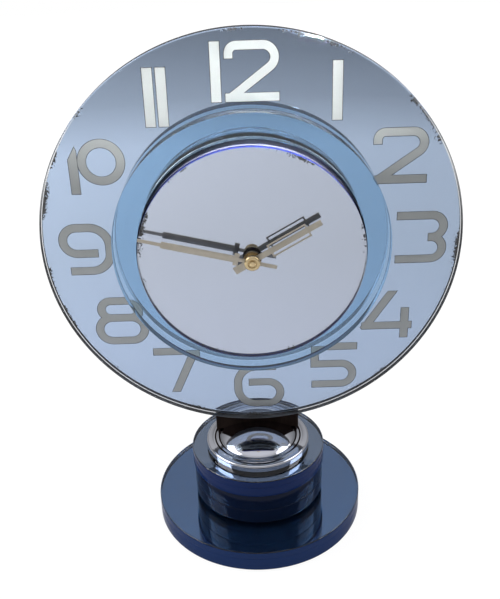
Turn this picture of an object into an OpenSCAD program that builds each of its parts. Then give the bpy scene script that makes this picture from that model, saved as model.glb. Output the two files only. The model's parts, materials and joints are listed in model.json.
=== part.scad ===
// Art Deco table clock: a round mirror-glass dial with a raised glass ring and a
// raised centre mirror, on a wooden neck over a stepped chrome cap, a column of
// stacked discs and a round glass base. Millimetres, +Z up, the dial faces -Y.
// The origin is the middle of the felt under the base.

/* [Base and column] */
// Radius of the round base
base_r = 69; // [58:0.5:80]
// Thickness of the base slab
slab_t = 9; // [6:0.5:14]
// Thickness of the mirror glass on the base
base_glass_t = 5.2; // [3:0.2:8]
// Thickness of the felt under the base
felt_t = 1.2; // [0.8:0.1:2]
// How far the felt stays inside the edge of the base
felt_inset = 3; // [1:0.5:6]
// Radius of the two dark column discs
disc_r = 43.5; // [41:0.5:48]
// Thickness of each dark column disc
disc_t = 12.1; // [8:0.1:16]
// Radius of the column's upper disc and top glass
top_r = 44.4; // [42:0.1:50]
// Thickness of the column's upper disc
upper_t = 7; // [4:0.5:12]
// Thickness of the mirror glass on the column
top_glass_t = 5; // [3:0.5:8]
// Radius of the rounded foot of the column
foot_round = 3.4; // [1:0.2:5]
// Width of the bevel on the edges of the column and base
edge_bevel = 0.6; // [0.3:0.1:1]

/* [Chrome cap] */
// Radius of the cap's flange
cap_r = 34.4; // [30:0.2:38]
// Height of the cap's flange
flange_h = 4.6; // [3.5:0.2:7]
// Radius of the cap's middle step
step_r = 29.4; // [28.6:0.2:30]
// Radius of the cap's upper step
ring_r = 26.4; // [25.4:0.2:27]
// Radius of the cap's dome
dome_r = 23.4; // [20:0.2:24.4]
// Height of each step of the cap
step_h = 0.7; // [0.4:0.1:1]
// Height of the dome above the upper step
dome_h = 5.8; // [3:0.2:8]
// Wall of the chrome cap
cap_wall = 1.2; // [0.8:0.1:1.6]

/* [Neck and board] */
// Width of the wooden neck
neck_w = 55.6; // [44:0.2:60]
// Depth of the wooden neck
neck_d = 20; // [18:0.5:26]
// Height of the neck's top over the dial's lower edge
neck_rise = 63; // [45:1:70]
// Gap between the top of the column and the dial's lower edge
dial_gap = 17.4; // [14.5:0.2:30]
// Radius of the round wooden back board
board_r = 104; // [95:1:115]
// Thickness of the back board
board_t = 14; // [12:0.5:18]
// Part of the board's thickness left in front of the neck's housing
housing_web = 7; // [5:0.5:8]

/* [Dial] */
// Radius of the dial glass
dial_r = 127; // [120:1:135]
// Thickness of the dial glass
dial_t = 6; // [4:0.5:8]
// Thickness of the silvered backing and of the numerals let into it
backing_t = 0.4; // [0.3:0.1:0.8]
// How far the backing stays inside the edge of the dial glass
backing_inset = 1; // [0.5:0.5:3]
// Outer radius of the raised glass ring
ring_glass_r = 83; // [78:0.5:84]
// Thickness of the raised glass ring
ring_glass_t = 9.4; // [6:0.2:11]
// Radius of the black drum inside the glass ring
drum_r = 67.6; // [67.2:0.1:72]
// How far the black drum stands in front of the glass ring
drum_proud = 7.1; // [3:0.1:9]
// Radius of the centre mirror
mirror_r = 66.7; // [60:0.1:67]
// Thickness of the centre mirror
mirror_t = 3.5; // [3:0.1:5]
// Gap between the drum and the glass ring round it
ring_fit = 0.4; // [0.2:0.1:0.8]
// Width of the polished bevel on the glass edges
glass_bevel = 0.8; // [0.4:0.1:1.2]

/* [Numerals] */
// Height of a numeral
numeral_h = 33.1; // [28:0.1:36]
// Width of a numeral's stroke
stroke_w = 4.7; // [4:0.1:6]
// Width of a one, which is a plain upright bar
bar_w = 5.5; // [4:0.1:6.5]
// From the dial's edge in to the circle of the numerals' middles
numeral_inset = 24.4; // [22:0.2:27]
// Gap round each numeral in the backing
numeral_gap = 0.35; // [0.1:0.05:0.5]

/* [Hands] */
// Length of the minute hand from its axis
minute_len = 67; // [50:0.5:76]
// Width of the minute hand's bar
minute_w = 4.1; // [3:0.1:5]
// Length of the minute hand's thin tip
minute_tip = 13.5; // [6:0.5:18]
// Width of the minute hand's thin tip
minute_tip_w = 2; // [1:0.1:2.6]
// Width over the minute hand's cross-bar
cross_w = 7.8; // [6:0.2:10]
// Where the minute hand's cross-bar lies along it
cross_at = 9.5; // [7:0.5:14]
// Length of the minute hand's tail
minute_tail = 14.6; // [8:0.2:20]
// Width of the minute hand's tail
minute_tail_w = 2.3; // [1.4:0.1:3]
// Length of the hour hand from its axis
hour_len = 46; // [40:0.2:52]
// Width of the hour hand's bar
hour_w = 3.5; // [2:0.1:4]
// Width over the hour hand's side rails
rails_w = 8.5; // [7:0.1:11]
// Width of one side rail
rail_w = 0.9; // [0.6:0.1:1.2]
// Where the side rails begin along the hour hand
rails_start = 12; // [9:0.5:16]
// Where the side rails end along the hour hand
rails_end = 37.5; // [30:0.5:38]
// Length of the hour hand's tail
hour_tail = 12; // [8:0.5:15]
// Width of the hour hand's tail
hour_tail_w = 4.6; // [4:0.2:7]
// Thickness of both hands
hand_t = 0.5; // [0.4:0.1:0.8]
// Angle of the minute hand, clockwise from twelve
minute_angle = 283.9; // [0:0.1:360]
// Angle of the hour hand, clockwise from twelve
hour_angle = 60; // [0:0.1:360]

/* [Movement] */
// Width and height of the movement case
case_w = 56; // [55.6:0.2:58]
// Depth of the movement case with its cover
case_d = 18; // [17.6:0.1:20]
// Wall of the movement case
case_wall = 1.5; // [1:0.1:1.6]
// Thickness of the case's rear cover
cover_t = 1.2; // [0.8:0.1:1.4]
// Thickness of the rubber washer in front of the case
seal_t = 0.8; // [0.5:0.1:1.2]
// Outer radius of the threaded bush
bush_r = 4; // [3.6:0.1:4.5]
// Radius of the minute arbor
arbor_r = 1.5; // [1.2:0.1:1.6]
// Running gap between an arbor and its bearing
run_gap = 0.05; // [0.02:0.01:0.08]
// Wall of the hour wheel's pipe
pipe_wall = 0.95; // [0.7:0.05:1]
// Gear module of the motion work
gear_module = 0.35; // [0.34:0.01:0.36]
// Thickness of each gear
gear_t = 1; // [0.6:0.1:1.1]
// Diameter of the hand nut
nut_d = 9.2; // [7:0.2:11]
// Thickness of the hand nut
nut_t = 2.2; // [1.5:0.1:3]
// Diameter of the setting knob
knob_d = 12; // [9:0.5:14]
// Height of the setting knob
knob_h = 7; // [5:0.5:10]
// Diameter of the battery
battery_d = 14.5; // [14:0.1:14.6]
// Length of the battery's body
battery_len = 49.2; // [48:0.2:49.6]

/* [Fasteners] */
// Radius of a tie rod
rod_r = 3; // [2:0.1:3.5]
// Half the distance between the two tie rods
rod_x = 14; // [10:0.5:18]
// Radius of a tie rod's washer
washer_r = 8; // [6:0.5:9]
// Thickness of a tie rod's washer
washer_t = 1.2; // [0.8:0.1:1.6]
// Width across the flats of a tie rod's nut
rod_nut_af = 10; // [8:0.5:12]
// Thickness of a tie rod's nut
rod_nut_t = 5; // [4:0.2:5.4]
// Radius of a board screw's shank
screw_r = 1.8; // [1.4:0.1:2.2]
// Radius of a board screw's head
screw_head_r = 3.6; // [3:0.1:4.2]

/* [Hidden] */
$fn = 96;
eps = 0.01;

// Heights of the stack, from the felt up
slab_z = felt_t;
base_glass_z = slab_z + slab_t;
lower_z = base_glass_z + base_glass_t;
middle_z = lower_z + disc_t;
upper_z = middle_z + disc_t;
top_glass_z = upper_z + upper_t;
cap_z = top_glass_z + top_glass_t;
dome_z = cap_z + flange_h + 2 * step_h;
dial_z = cap_z + dial_gap + dial_r;
dome_ball = (dome_r * dome_r + dome_h * dome_h) / (2 * dome_h);

// Depths of the dial's layers: its front face lies at y = 0
back_y = dial_t + backing_t;
housing_y = back_y + housing_web;
board_y = back_y + board_t;
ring_y = -ring_glass_t;
drum_y = ring_y - drum_proud;
mirror_y = drum_y - mirror_t;
neck_top_z = dial_z - dial_r + neck_rise;
rod_y = back_y + neck_d / 2;

// The hub in front of the centre mirror
face_washer_t = 0.5;
bush_nut_t = 1.8;
hub_gap = 0.4;
boss_t = 0.8;
bush_hole_r = bush_r + 0.3;
washer_y = mirror_y - face_washer_t;
bush_nut_y = washer_y - bush_nut_t;
bush_end_y = bush_nut_y - hub_gap;
hour_hand_y = bush_end_y - hub_gap - boss_t;
pipe_end_y = hour_hand_y - 0.3;
minute_hand_y = pipe_end_y - hub_gap - boss_t;
nut_y = minute_hand_y - nut_t;
arbor_tip_y = nut_y - 0.3;

// The movement behind the dial
case_y = back_y + seal_t;
case_in_y = case_y + case_wall;
cover_y = case_y + case_d - cover_t;
case_half = case_w / 2;
case_in = case_half - case_wall;
corner_post = 5;
wheel_a_y = case_in_y + 0.6;
wheel_b_y = wheel_a_y + gear_t + 0.5;
motor_y = wheel_b_y + gear_t + 0.6;
motor_back_y = cover_y;
arbor_seat = 2;
bore_r = arbor_r + run_gap;
pipe_r = bore_r + pipe_wall;
bush_bore_r = pipe_r + run_gap;
stud_r = 0.6;
set_r = 1.2;

// Motion work: 15 teeth drive 45, and 12 on the same wheel drive 48
cannon_teeth = 15;
wheel_teeth = 45;
pinion_teeth = 12;
hour_teeth = 48;
set_teeth = 15;
train_angle = 135;
train_step = gear_module * (cannon_teeth + wheel_teeth) / 2;
wheel_x = train_step * cos(train_angle);
wheel_dz = train_step * sin(train_angle);
set_x = 2 * wheel_x;
set_dz = 2 * wheel_dz;

battery_y = case_in_y + 0.4 + battery_d / 2;
battery_dz = -case_in + 0.4 + battery_d / 2;
rib_dz = battery_dz + battery_d / 2 + 0.3;
rib_t = 1;
nub_len = 1.3;
nub_r = 2.75;
contact_t = 0.5;

// Turns a shape drawn in the plane of the dial to stand at depth y, h thick
module at_dial(y, h) {
    translate([0, y + h, dial_z]) rotate([90, 0, 0]) linear_extrude(h) children();
}

// A round disc in the plane of the dial
module dial_disc(y, h, r) {
    translate([0, y + h, dial_z]) rotate([90, 0, 0]) cylinder(r = r, h = h);
}

// A round rod along the depth, at x and at dz above the dial's axis
module depth_rod(x, dz, y, h, r) {
    translate([x, y + h, dial_z + dz]) rotate([90, 0, 0]) cylinder(r = r, h = h);
}

// A disc of glass in the plane of the dial with bevelled edges
module glass_disc(y, h, r, bevel) {
    translate([0, y + h, dial_z]) rotate([90, 0, 0]) rotate_extrude()
        polygon([[0, 0], [r - bevel, 0], [r, bevel], [r, h - bevel], [r - bevel, h], [0, h]]);
}

// A disc of the column or base with bevelled edges
module stack_disc(z, h, r, bevel_low, bevel_high) {
    translate([0, 0, z]) rotate_extrude()
        polygon([[0, 0], [r - bevel_low, 0], [r, bevel_low], [r, h - bevel_high],
                 [r - bevel_high, h], [0, h]]);
}

// Both tie rods' holes, from z up by h
module rod_holes(z, h, r) {
    for (side = [-1, 1])
        translate([side * rod_x, rod_y, z]) cylinder(r = r, h = h);
}

// ---------------------------------------------------------------- base and column

rod_hole_r = rod_r + 0.3;
recess_r = washer_r + 1;
recess_h = washer_t + rod_nut_t + 1.2;

module base_felt() {
    color("darkslategray")
    cylinder(r = base_r - felt_inset, h = felt_t);
}

module base_slab() {
    color("midnightblue")
    difference() {
        stack_disc(slab_z, slab_t, base_r, edge_bevel, edge_bevel / 3);
        rod_holes(slab_z - eps, slab_t + 2 * eps, rod_hole_r);
        rod_holes(slab_z - eps, recess_h + eps, recess_r);
    }
}

module base_glass() {
    color("steelblue")
    difference() {
        stack_disc(base_glass_z, base_glass_t, base_r, edge_bevel / 3, edge_bevel);
        rod_holes(base_glass_z - eps, base_glass_t + 2 * eps, rod_hole_r);
    }
}

// The lowest disc of the column has a rounded foot
module column_lower_disc() {
    color("darkslateblue")
    difference() {
        translate([0, 0, lower_z]) rotate_extrude() {
            polygon([[0, 0], [disc_r - foot_round, 0], [disc_r - foot_round, foot_round],
                     [disc_r, foot_round], [disc_r, disc_t - edge_bevel],
                     [disc_r - edge_bevel, disc_t], [0, disc_t]]);
            intersection() {
                translate([disc_r - foot_round, foot_round]) circle(r = foot_round);
                translate([disc_r - foot_round - eps, 0])
                    square([foot_round + 2 * eps, foot_round + eps]);
            }
        }
        rod_holes(lower_z - eps, disc_t + 2 * eps, rod_hole_r);
    }
}

module column_middle_disc() {
    color("darkslateblue")
    difference() {
        stack_disc(middle_z, disc_t, disc_r, edge_bevel, edge_bevel);
        rod_holes(middle_z - eps, disc_t + 2 * eps, rod_hole_r);
    }
}

module column_upper_disc() {
    color("royalblue")
    difference() {
        stack_disc(upper_z, upper_t, top_r, edge_bevel, edge_bevel / 3);
        rod_holes(upper_z - eps, upper_t + 2 * eps, rod_hole_r);
    }
}

module column_top_glass() {
    color("lightsteelblue")
    difference() {
        stack_disc(top_glass_z, top_glass_t, top_r, edge_bevel / 3, edge_bevel);
        rod_holes(top_glass_z - eps, top_glass_t + 2 * eps, rod_hole_r);
    }
}

// ---------------------------------------------------------------- chrome cap

// Half profile of the cap, taken in by w all over but at its foot
module cap_profile(w) {
    rise = flange_h - w;
    rim = min(1.2, flange_h / 3);
    polygon([[0, 0], [cap_r - w, 0], [cap_r - w, rise - rim], [cap_r - w - rim * 0.3, rise - rim * 0.3],
             [cap_r - w - rim, rise], [step_r - w, rise], [step_r - w, rise + step_h],
             [ring_r - w, rise + step_h], [ring_r - w, rise + 2 * step_h], [0, rise + 2 * step_h]]);
    intersection() {
        translate([0, rise + 2 * step_h + dome_h - dome_ball]) circle(r = dome_ball, $fn = 240);
        translate([0, rise + 2 * step_h - eps]) square([dome_r - w, dome_h + eps]);
    }
}

module cap_solid(w) {
    translate([0, 0, cap_z]) rotate_extrude() cap_profile(w);
}

module chrome_cap() {
    color("silver")
    difference() {
        cap_solid(0);
        cap_solid(cap_wall);
        rod_holes(cap_z - eps, flange_h + dome_h + 3, rod_hole_r);
    }
}

module cap_core() {
    color("saddlebrown")
    difference() {
        cap_solid(cap_wall);
        rod_holes(cap_z - eps, flange_h + dome_h + 3, rod_hole_r);
    }
}

// ---------------------------------------------------------------- neck, board, ties

neck_foot_z = cap_z + flange_h - 1.4;
rod_grip = 26;
rod_top_z = neck_foot_z + rod_grip;
rod_low_z = slab_z + 0.8;
tie_seat_z = slab_z + recess_h;

module neck_block() {
    color("#3a2418")
    difference() {
        translate([-neck_w / 2, back_y, neck_foot_z])
            cube([neck_w, neck_d, neck_top_z - neck_foot_z]);
        cap_solid(0);
        dial_disc(back_y - eps, housing_web + eps, board_r);
        rod_holes(neck_foot_z - eps, rod_grip + eps, rod_r);
        board_screw_bodies();
    }
}

module tie_rods() {
    color("gainsboro")
    rod_holes(rod_low_z, rod_top_z - rod_low_z, rod_r);
}

module tie_washers() {
    color("silver")
    difference() {
        rod_holes(tie_seat_z - washer_t, washer_t, washer_r);
        rod_holes(tie_seat_z - washer_t - eps, washer_t + 2 * eps, rod_r);
    }
}

module tie_nuts() {
    color("silver")
    difference() {
        for (side = [-1, 1])
            translate([side * rod_x, rod_y, tie_seat_z - washer_t - rod_nut_t])
                cylinder(d = rod_nut_af / cos(30), h = rod_nut_t, $fn = 6);
        rod_holes(tie_seat_z - washer_t - rod_nut_t - eps, rod_nut_t + 2 * eps, rod_r);
    }
}

// The board's screws go in from behind, through the neck's tongue
screw_rows = [0.28, 0.72];
screw_dx = neck_w * 0.3;
screw_len = neck_d - housing_web + housing_web * 0.7;
screw_y = back_y + neck_d;
tongue_low_z = dial_z - board_r;

module board_screw_bodies() {
    for (row = screw_rows, side = [-1, 1]) {
        z = tongue_low_z + 6 + (neck_top_z - tongue_low_z - 6) * row;
        translate([side * screw_dx, screw_y, z]) rotate([90, 0, 0]) {
            cylinder(r = screw_r, h = screw_len);
            cylinder(r1 = screw_head_r, r2 = screw_r, h = screw_head_r - screw_r);
        }
    }
}

module board_screws() {
    color("goldenrod")
    difference() {
        board_screw_bodies();
        for (row = screw_rows, side = [-1, 1]) {
            z = tongue_low_z + 6 + (neck_top_z - tongue_low_z - 6) * row;
            translate([side * screw_dx - screw_head_r, screw_y - 0.8, z - 0.5])
                cube([2 * screw_head_r, 1, 1]);
        }
    }
}

pocket_half = case_half + 0.5;

module back_board() {
    color("#6b4a2b")
    difference() {
        dial_disc(back_y, board_t, board_r);
        translate([-neck_w / 2, housing_y, tongue_low_z - 1])
            cube([neck_w, board_t, neck_top_z - tongue_low_z + 1]);
        translate([-pocket_half, back_y - eps, dial_z - pocket_half])
            cube([2 * pocket_half, board_t + 2 * eps, 2 * pocket_half]);
        board_screw_bodies();
    }
}

// ---------------------------------------------------------------- numerals

numeral_circle = dial_r - numeral_inset;
// The numerals were set by eye: how far each stands from its even place, across and up
numeral_shift = [
    [-0.7, 1.5], [-1.2, 0.3], [0.3, 0], [-5, -1.3], [0, 0], [2, 0],
    [0.6, 0], [4.9, 0.2], [2.5, -1.3], [3.3, 1.9], [0, 0.6], [0, -0.2]
];
half_h = numeral_h / 2;
half_s = stroke_w / 2;

// A straight stroke of the numeral's width from p to q, with square ends
module stroke(p, q) {
    d = q - p;
    translate(p) rotate(atan2(d[1], d[0])) translate([0, -half_s]) square([norm(d), stroke_w]);
}

// Part of a ring of the numeral's width round c, from angle a0 to a1, outer radius r
module bend(c, r, a0, a1) {
    translate(c) intersection() {
        difference() {
            circle(r = r);
            circle(r = r - stroke_w);
        }
        polygon(concat([[0, 0]], [for (i = [0:8]) let (a = a0 + (a1 - a0) * i / 8)
            2 * r * [cos(a), sin(a)]]));
    }
}

module digit_0() {
    r = numeral_h * 0.411;
    difference() {
        circle(r = r);
        circle(r = r - stroke_w);
    }
}

module digit_1() {
    translate([-bar_w / 2, -half_h]) square([bar_w, numeral_h]);
}

module digit_2(w, slant) {
    r = numeral_h * 0.27;
    hook_r = numeral_h * 0.2;
    c = [w / 2 - r, half_h - r];
    hook = [-w / 2 + hook_r, half_h - hook_r];
    foot = [-w / 2 + stroke_w * 0.66, -half_h + half_s];
    reach = foot - c;
    turn = atan2(reach[1], reach[0]) + acos((r - half_s) / norm(reach));
    edge = c + (r - half_s) * [cos(turn), sin(turn)];
    bend(hook, hook_r, 90, 180);
    stroke([-w / 2 + half_s, half_h - hook_r], [-w / 2 + half_s, half_h - numeral_h * 0.28]);
    stroke([hook[0], half_h - half_s], [c[0], half_h - half_s]);
    bend(c, r, turn, 90);
    difference() {
        union() {
            intersection() {
                stroke(edge, foot + 0.2 * (foot - edge));
                translate([-w / 2, -half_h]) square([w, numeral_h]);
            }
            translate([-w / 2, -half_h]) square([w, stroke_w]);
        }
        polygon([[-w / 2 - 1, -half_h + 2 * slant], [-w / 2 + slant + 0.01, -half_h - 0.02],
                 [-w / 2 - 1, -half_h - 1]]);
    }
}

module digit_3() {
    w = numeral_h * 0.92;
    r = (numeral_h + stroke_w) / 4;
    x = w / 2 - r;
    stroke([-w / 2, half_h - half_s], [x, half_h - half_s]);
    stroke([-w / 2, -half_h + half_s], [x, -half_h + half_s]);
    stroke([x - stroke_w * 0.34, 0], [x + half_s, 0]);
    for (side = [-1, 1])
        bend([x, side * (half_h - r)], r, -90, 90);
}

module digit_4() {
    w = numeral_h * 0.98;
    bar_y = -numeral_h * 0.23;
    post_x = w * 0.36;
    top = [w * 0.1, half_h];
    low = [-w / 2 + stroke_w * 0.75, bar_y];
    intersection() {
        stroke(low - 0.1 * (top - low), top + 0.1 * (top - low));
        translate([-w / 2, bar_y - half_s]) square([w, half_h - bar_y + half_s]);
    }
    stroke([-w / 2 + stroke_w * 0.2, bar_y], [w / 2, bar_y]);
    stroke([post_x, -half_h], [post_x, numeral_h * 0.14]);
}

module digit_5() {
    w = numeral_h * 0.87;
    r = numeral_h * 0.305;
    x = w / 2 - r;
    bar_y = -half_h + 2 * r - half_s;
    stroke([-w * 0.36, half_h - half_s], [w / 2, half_h - half_s]);
    stroke([-w * 0.36 - half_s, bar_y - half_s], [-w * 0.36 - half_s, half_h]);
    stroke([-w * 0.36 - stroke_w, bar_y], [x, bar_y]);
    stroke([-w / 2, -half_h + half_s], [x, -half_h + half_s]);
    bend([x, -half_h + r], r, -90, 90);
}

// The six is an open spiral, and the nine is the six turned over
module digit_6() {
    w = numeral_h * 0.98;
    big_r = numeral_h * 0.43;
    low_r = numeral_h * 0.325;
    x = -w / 2 + big_r;
    lx = w / 2 - low_r;
    stroke([x, half_h - half_s], [w * 0.34, half_h - half_s]);
    bend([x, half_h - big_r], big_r, 90, 180);
    stroke([-w / 2 + half_s, half_h - big_r], [-w / 2 + half_s, -half_h + big_r]);
    bend([x, -half_h + big_r], big_r, 180, 270);
    stroke([x, -half_h + half_s], [lx, -half_h + half_s]);
    bend([lx, -half_h + low_r], low_r, -90, 90);
    stroke([-w * 0.2, -half_h + 2 * low_r - half_s], [lx, -half_h + 2 * low_r - half_s]);
}

module digit_7() {
    w = numeral_h * 0.9;
    top = [w / 2 - stroke_w * 0.7, half_h - half_s];
    foot = [-w * 0.07, -half_h];
    stroke([-w / 2, half_h - half_s], [w / 2, half_h - half_s]);
    intersection() {
        stroke(top, foot + 0.1 * (foot - top));
        translate([-w / 2, -half_h]) square([w, numeral_h]);
    }
}

module digit_8() {
    w_low = numeral_h;
    w_up = numeral_h * 0.86;
    r_low = (numeral_h + stroke_w) * 0.28;
    r_up = (numeral_h + stroke_w) / 2 - r_low;
    slot(w_low, r_low, -half_h + r_low);
    slot(w_up, r_up, half_h - r_up);
}

// A closed loop with round ends, w wide, whose middle line stands at y
module slot(w, r, y) {
    x = w / 2 - r;
    for (side = [-1, 1])
        stroke([-x, y + side * (r - half_s)], [x, y + side * (r - half_s)]);
    bend([x, y], r, -90, 90);
    bend([-x, y], r, 90, 270);
}

module digit_9() {
    rotate(180) digit_6();
}

// The bar of the ten has a pointed head and stands close beside its round nought
module numeral_10() {
    r = numeral_h * 0.411;
    x = -r - bar_w + 0.15;
    digit_0();
    polygon([[x, -numeral_h * 0.57], [x + bar_w - 0.45, -numeral_h * 0.57],
             [x + bar_w - 0.45, numeral_h * 0.22], [x + bar_w - 1.2, numeral_h * 0.28],
             [x, numeral_h * 0.06]]);
}

module numeral_11() {
    for (side = [-1, 1])
        translate([side * (bar_w / 2 + 0.95), 0]) digit_1();
}

module numeral_12() {
    translate([-numeral_h * 0.52, 0]) digit_1();
    translate([numeral_h * 0.09, 0]) digit_2(numeral_h * 0.91, 0);
}

module numeral(n) {
    if (n == 1) digit_1();
    if (n == 2) digit_2(numeral_h * 0.95, 3);
    if (n == 3) digit_3();
    if (n == 4) digit_4();
    if (n == 5) digit_5();
    if (n == 6) digit_6();
    if (n == 7) digit_7();
    if (n == 8) digit_8();
    if (n == 9) digit_9();
    if (n == 10) numeral_10();
    if (n == 11) numeral_11();
    if (n == 12) numeral_12();
}

// All twelve numerals, upright, round the dial's axis
module numeral_shapes() {
    for (n = [1:12])
        translate(numeral_circle * [sin(30 * n), cos(30 * n)] + numeral_shift[n - 1]) numeral(n);
}

module numerals() {
    color("beige")
    at_dial(dial_t, backing_t) numeral_shapes();
}

// ---------------------------------------------------------------- dial layers

module dial_backing() {
    color("lightslategray")
    at_dial(dial_t, backing_t) difference() {
        circle(r = dial_r - backing_inset, $fn = 240);
        circle(r = bush_hole_r + 6);
        offset(delta = numeral_gap) numeral_shapes();
    }
}

module dial_glass() {
    color("lightsteelblue")
    difference() {
        glass_disc(0, dial_t, dial_r, glass_bevel);
        dial_disc(-eps, dial_t + 2 * eps, bush_hole_r);
    }
}

module ring_glass() {
    color("cornflowerblue")
    difference() {
        glass_disc(ring_y, ring_glass_t, ring_glass_r, glass_bevel / 2);
        dial_disc(ring_y - eps, ring_glass_t + 2 * eps, drum_r + ring_fit);
    }
}

module mirror_drum() {
    color("#1a1a1e")
    difference() {
        dial_disc(drum_y, -drum_y, drum_r);
        dial_disc(drum_y - eps, -drum_y + 2 * eps, bush_hole_r);
    }
}

module centre_mirror() {
    color("lavender")
    difference() {
        glass_disc(mirror_y, mirror_t, mirror_r, glass_bevel / 2);
        dial_disc(mirror_y - eps, mirror_t + 2 * eps, bush_hole_r);
    }
}

module face_washer() {
    color("#2b2b2b")
    difference() {
        dial_disc(washer_y, face_washer_t, bush_r + 1.4);
        dial_disc(washer_y - eps, face_washer_t + 2 * eps, bush_r);
    }
}

module bush_nut() {
    color("burlywood")
    difference() {
        dial_disc(bush_nut_y, bush_nut_t, bush_r + 1.2);
        dial_disc(bush_nut_y - eps, bush_nut_t + 2 * eps, bush_r);
        for (side = [-1, 1])
            translate([side * (bush_r + 1.2) - 0.6, bush_nut_y - eps, dial_z - 0.5])
                cube([1.2, 0.9, 1]);
    }
}

// ---------------------------------------------------------------- movement

module seal_washer() {
    color("#202020")
    difference() {
        dial_disc(back_y, seal_t, bush_r + 8);
        dial_disc(back_y - eps, seal_t + 2 * eps, bush_r);
    }
}

module threaded_bush() {
    color("gold")
    difference() {
        dial_disc(bush_end_y, case_in_y - bush_end_y, bush_r);
        dial_disc(bush_end_y - eps, case_in_y - bush_end_y + 2 * eps, bush_bore_r);
    }
}

module movement_case() {
    color("#303034")
    difference() {
        translate([-case_half, case_y, dial_z - case_half])
            cube([case_w, case_d - cover_t, case_w]);
        difference() {
            translate([-case_in, case_in_y, dial_z - case_in])
                cube([2 * case_in, case_d, 2 * case_in]);
            translate([-case_in, case_in_y - eps, dial_z + rib_dz])
                cube([2 * case_in, case_d, rib_t]);
            for (side = [-1, 1])
                translate([side * (case_in - corner_post / 2) - corner_post / 2, case_in_y - eps,
                           dial_z + case_in - corner_post])
                    cube([corner_post, case_d, corner_post]);
        }
        depth_rod(0, 0, case_y - eps, case_wall + 2 * eps, bush_r);
        depth_rod(wheel_x, wheel_dz, case_y - eps, case_wall + 2 * eps, stud_r);
        depth_rod(set_x, set_dz, case_in_y - 1, 1 + eps, set_r + run_gap);
        cover_screw_bodies();
    }
}

module wheel_stud() {
    color("silver")
    depth_rod(wheel_x, wheel_dz, case_y, motor_y - case_y - 0.2, stud_r);
}

// The sealed motor drives the minute arbor through a friction clutch
module motor_module() {
    color("ivory")
    difference() {
        translate([-10, motor_y, dial_z + rib_dz + rib_t])
            cube([case_in + 10, motor_back_y - motor_y, case_in - rib_dz - rib_t - corner_post]);
        depth_rod(0, 0, motor_y - eps, arbor_seat + 0.3, bore_r);
    }
}

module battery() {
    color("dimgray")
    translate([-battery_len / 2, battery_y, dial_z + battery_dz]) rotate([0, 90, 0]) {
        cylinder(d = battery_d, h = battery_len);
        cylinder(r = nub_r, h = battery_len + nub_len);
    }
}

// A flat leaf at each end of the battery bay, with a boss that meets the battery
module battery_contacts() {
    leaf = battery_d - 3;
    color("silver") {
        translate([-case_in, battery_y - leaf / 2, dial_z + battery_dz - leaf / 2])
            cube([contact_t, leaf, leaf]);
        translate([-case_in + contact_t, battery_y, dial_z + battery_dz]) rotate([0, 90, 0])
            cylinder(r = nub_r, h = case_in - contact_t - battery_len / 2);
        translate([case_in - contact_t, battery_y - leaf / 2, dial_z + battery_dz - leaf / 2])
            cube([contact_t, leaf, leaf]);
        translate([battery_len / 2 + nub_len, battery_y, dial_z + battery_dz]) rotate([0, 90, 0])
            cylinder(r = nub_r * 0.7, h = case_in - contact_t - battery_len / 2 - nub_len);
    }
}

cover_screw_len = 5;
cover_screw_r = 0.9;
cover_head_r = 1.8;
cover_head_t = 0.9;
cover_screw_at = case_in - corner_post / 2;

module cover_screw_bodies() {
    for (side = [-1, 1]) {
        depth_rod(side * cover_screw_at, cover_screw_at, cover_y + cover_t - cover_screw_len,
                  cover_screw_len, cover_screw_r);
        depth_rod(side * cover_screw_at, cover_screw_at, cover_y + cover_t, cover_head_t,
                  cover_head_r);
    }
}

module cover_screws() {
    color("silver")
    difference() {
        cover_screw_bodies();
        for (side = [-1, 1])
            translate([side * cover_screw_at - 2, cover_y + cover_t + 0.4,
                       dial_z + cover_screw_at - 0.25])
                cube([4, 1, 0.5]);
    }
}

module movement_cover() {
    color("#3c3c40")
    difference() {
        translate([-case_half, cover_y, dial_z + rib_dz])
            cube([case_w, cover_t, case_half - rib_dz]);
        depth_rod(set_x, set_dz, cover_y - eps, cover_t + 2 * eps, set_r + run_gap);
        cover_screw_bodies();
    }
}

// ---------------------------------------------------------------- motion work

pressure = 25;
backlash = 0.05;

function involute_angle(r, base) = sqrt(r * r / (base * base) - 1) * 180 / PI - acos(base / r);

// Half the angle of a tooth at radius r, less half the backlash
function tooth_half(teeth, r) =
    let (pitch = gear_module * teeth / 2, base = pitch * cos(pressure))
    90 / teeth - backlash / 2 / pitch * 180 / PI
    + involute_angle(pitch, base) - involute_angle(max(r, base), base);

// Outline of a gear whose tooth nought points along +X before it is turned
module gear_shape(teeth) {
    pitch = gear_module * teeth / 2;
    base = pitch * cos(pressure);
    tip = pitch + 0.95 * gear_module;
    root = pitch - 1.2 * gear_module;
    low = max(root, base);
    steps = 4;
    polygon([for (i = [0:teeth - 1]) let (mid = i * 360 / teeth) each concat(
        [root * [cos(mid - tooth_half(teeth, low)), sin(mid - tooth_half(teeth, low))]],
        [for (k = [0:steps]) let (r = low + (tip - low) * k / steps, a = mid - tooth_half(teeth, r))
            r * [cos(a), sin(a)]],
        [for (k = [steps:-1:0]) let (r = low + (tip - low) * k / steps, a = mid + tooth_half(teeth, r))
            r * [cos(a), sin(a)]],
        [root * [cos(mid + tooth_half(teeth, low)), sin(mid + tooth_half(teeth, low))]])]);
}

// A gear at depth y, centred at x and dz, turned by angle in the dial's plane
module gear(teeth, x, dz, y, h, turn) {
    translate([x, y + h, dial_z + dz]) rotate([90, 0, 0]) rotate([0, 0, turn])
        linear_extrude(h) gear_shape(teeth);
}

// A gap of each driven gear faces a tooth of its driver along the line of centres
cannon_turn = train_angle;
wheel_turn = train_angle + 180 + 180 / wheel_teeth;
pinion_turn = train_angle + 180;
hour_turn = train_angle + 180 / hour_teeth;
set_turn = train_angle + 180 + 180 / set_teeth + (wheel_teeth % 2 == 1 ? 0 : 180 / set_teeth);

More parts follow.
